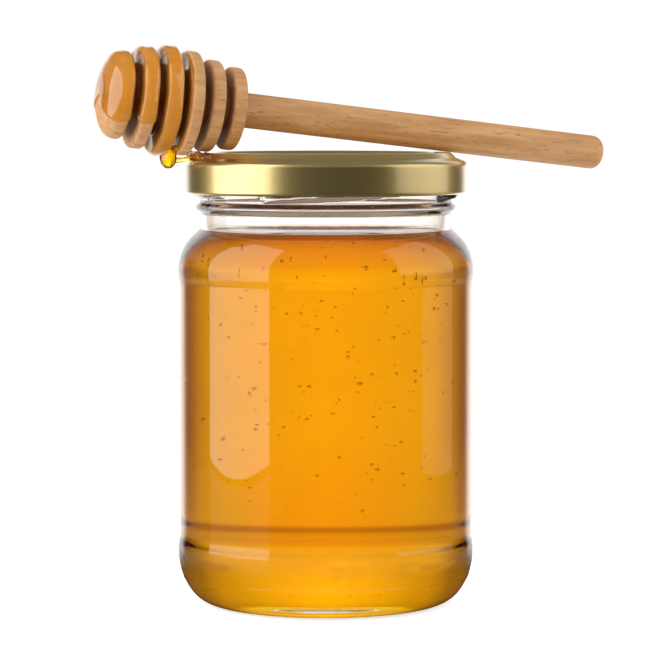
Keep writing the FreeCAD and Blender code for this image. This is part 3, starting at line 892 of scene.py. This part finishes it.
def studio_world():
    """White room with dark sides, as black cards give a glass its edges.

    What a ray sees depends on how it comes. Straight on, the room is plain white. As light on a
    dull surface it is an even grey, or white if it comes through glass or honey. Mirrored it is
    dark all round apart from the backdrop, or brown once the ray has been in the glass. Any other ray
    comes through the glass, and sees the sides darken with the turn away from the backdrop, which
    is worked out from the direction, 0 straight behind and 1 in front. Rays that run level, fall
    or rise have shades of their own.
    """
    world = bpy.data.worlds.new("white_studio")
    world.use_nodes = True
    tree = world.node_tree
    tree.nodes.clear()
    way = node(tree, "ShaderNodeTexCoord").outputs["Generated"]
    parts = node(tree, "ShaderNodeSeparateXYZ", links={0: way}).outputs
    wide = node(tree, "ShaderNodeMath", {"operation": "ABSOLUTE"}, {0: parts["X"]}).outputs[0]
    turn = node(tree, "ShaderNodeMath", {"operation": "ARCTAN2"}, {0: wide, 1: parts["Y"]}).outputs[0]
    away = node(tree, "ShaderNodeMath", {"operation": "DIVIDE", 1: math.pi}, {0: turn}).outputs[0]
    level = ramp(tree, away, [
        (0.0, "#E2E2E2"), (0.09, "#D9D8D7"), (0.14, "#D3D2D0"), (0.19, "#CBC7C2"), (0.26, "#A69A8F"),
        (0.31, "#7C6B5C"), (0.37, "#796550"), (0.43, "#E2E2E2")])
    low = ramp(tree, away, [
        (0.0, "#DDD1C7"), (0.09, "#D4C8BB"), (0.14, "#CBC7BA"), (0.19, "#C1BBAA"), (0.26, "#B7B09C"),
        (0.31, "#9C8E7C"), (0.37, "#9C8E7C"), (0.43, "#E2E2E2")])
    high = ramp(tree, away, [
        (0.0, "#FFFFFF"), (0.065, "#E7E7E7"), (0.1, "#D8D8D6"), (0.14, "#C7C4C0"), (0.18, "#BDB5AD"),
        (0.25, "#90877C"), (0.4, "#84796C"), (0.5, "#E2E2E2")])
    mirrored = ramp(tree, away, [
        (0.0, "#E2E2E2"), (0.15, "#E2E2E2"), (0.21, "#302C26"), (0.3, "#1C1A17"), (1.0, "#1A1815")])
    glancing = ramp(tree, away, [
        (0.0, "#E2E2E2"), (0.15, "#E2E2E2"), (0.21, "#96806E"), (0.45, "#7A6658"), (0.62, "#1C1A17")])
    level_off = node(tree, "ShaderNodeMath", {"operation": "ABSOLUTE"}, {0: parts["Z"]}).outputs[0]
    slants = node(tree, "ShaderNodeMapRange", {"From Min": 0.1, "From Max": 0.2}, {"Value": level_off})
    sloping = mixed(tree, slants.outputs["Result"], mirrored, glancing)
    overhead = node(tree, "ShaderNodeMapRange", {"From Min": 0.3, "From Max": 0.55}, {"Value": parts["Z"]})
    mirror = mixed(tree, overhead.outputs["Result"], sloping, "#58544C")
    inner = ramp(tree, away, [
        (0.0, "#E2E2E2"), (0.15, "#E2E2E2"), (0.21, "#A88C74"), (0.4, "#80603E"), (1.0, "#7D562D")])
    falls = node(tree, "ShaderNodeMapRange", {"From Min": -0.1, "From Max": -0.13}, {"Value": parts["Z"]})
    rises = node(tree, "ShaderNodeMapRange", {"From Min": 0.0, "From Max": 0.14}, {"Value": parts["Z"]})
    drop = node(tree, "ShaderNodeMath", {"operation": "MULTIPLY", 1: -1.0}, {0: parts["Z"]}).outputs[0]
    dives = ramp(tree, drop, [(0.13, "#FFFFFF"), (0.3, "#F0E6D8"), (0.45, "#D8B890"), (0.54, "#80583C")])
    deep = node(tree, "ShaderNodeMix", {"data_type": "RGBA", "blend_type": "MULTIPLY", 0: 1.0},
                {6: low, 7: dives}).outputs[2]
    lower = mixed(tree, falls.outputs["Result"], level, deep)
    room = mixed(tree, rises.outputs["Result"], lower, high)
    path = node(tree, "ShaderNodeLightPath").outputs
    reflected = mixed(tree, past_half(tree, path["Transmission Depth"]), mirror, inner)
    first = mixed(tree, past_half(tree, path["Glossy Depth"]), room, reflected)
    open_or_wet = mixed(tree, path["Is Transmission Ray"], "#BCBCBC", "#FFFFFF")
    soft = mixed(tree, past_half(tree, path["Diffuse Depth"]), first, open_or_wet)
    seen = mixed(tree, path["Is Camera Ray"], soft, "#CCCCCC")
    glow = node(tree, "ShaderNodeBackground", {"Strength": 1.7}, {"Color": seen})
    node(tree, "ShaderNodeOutputWorld", links={"Surface": glow.outputs["Background"]})
    bpy.context.scene.world = world


add_floor()
studio_world()
add_softbox("left_softbox", -71.5, 0.42, 0.456, 0.72, -0.012, 2.1)
add_softbox("left_low_softbox", -71.5, 0.42, 0.456, 0.1, -0.115, 0.3)
add_softbox("right_softbox", 85, 0.42, 0.46, 0.535, 0.075, 0.9)
add_softbox("right_low_softbox", 96, 0.42, 0.27, 0.087, -0.012, 0.45)

scene = bpy.context.scene
scene.view_settings.view_transform = "Standard"
scene.cycles.max_bounces = 24
scene.cycles.transmission_bounces = 24
scene.cycles.glossy_bounces = 8
scene.cycles.diffuse_bounces = 4
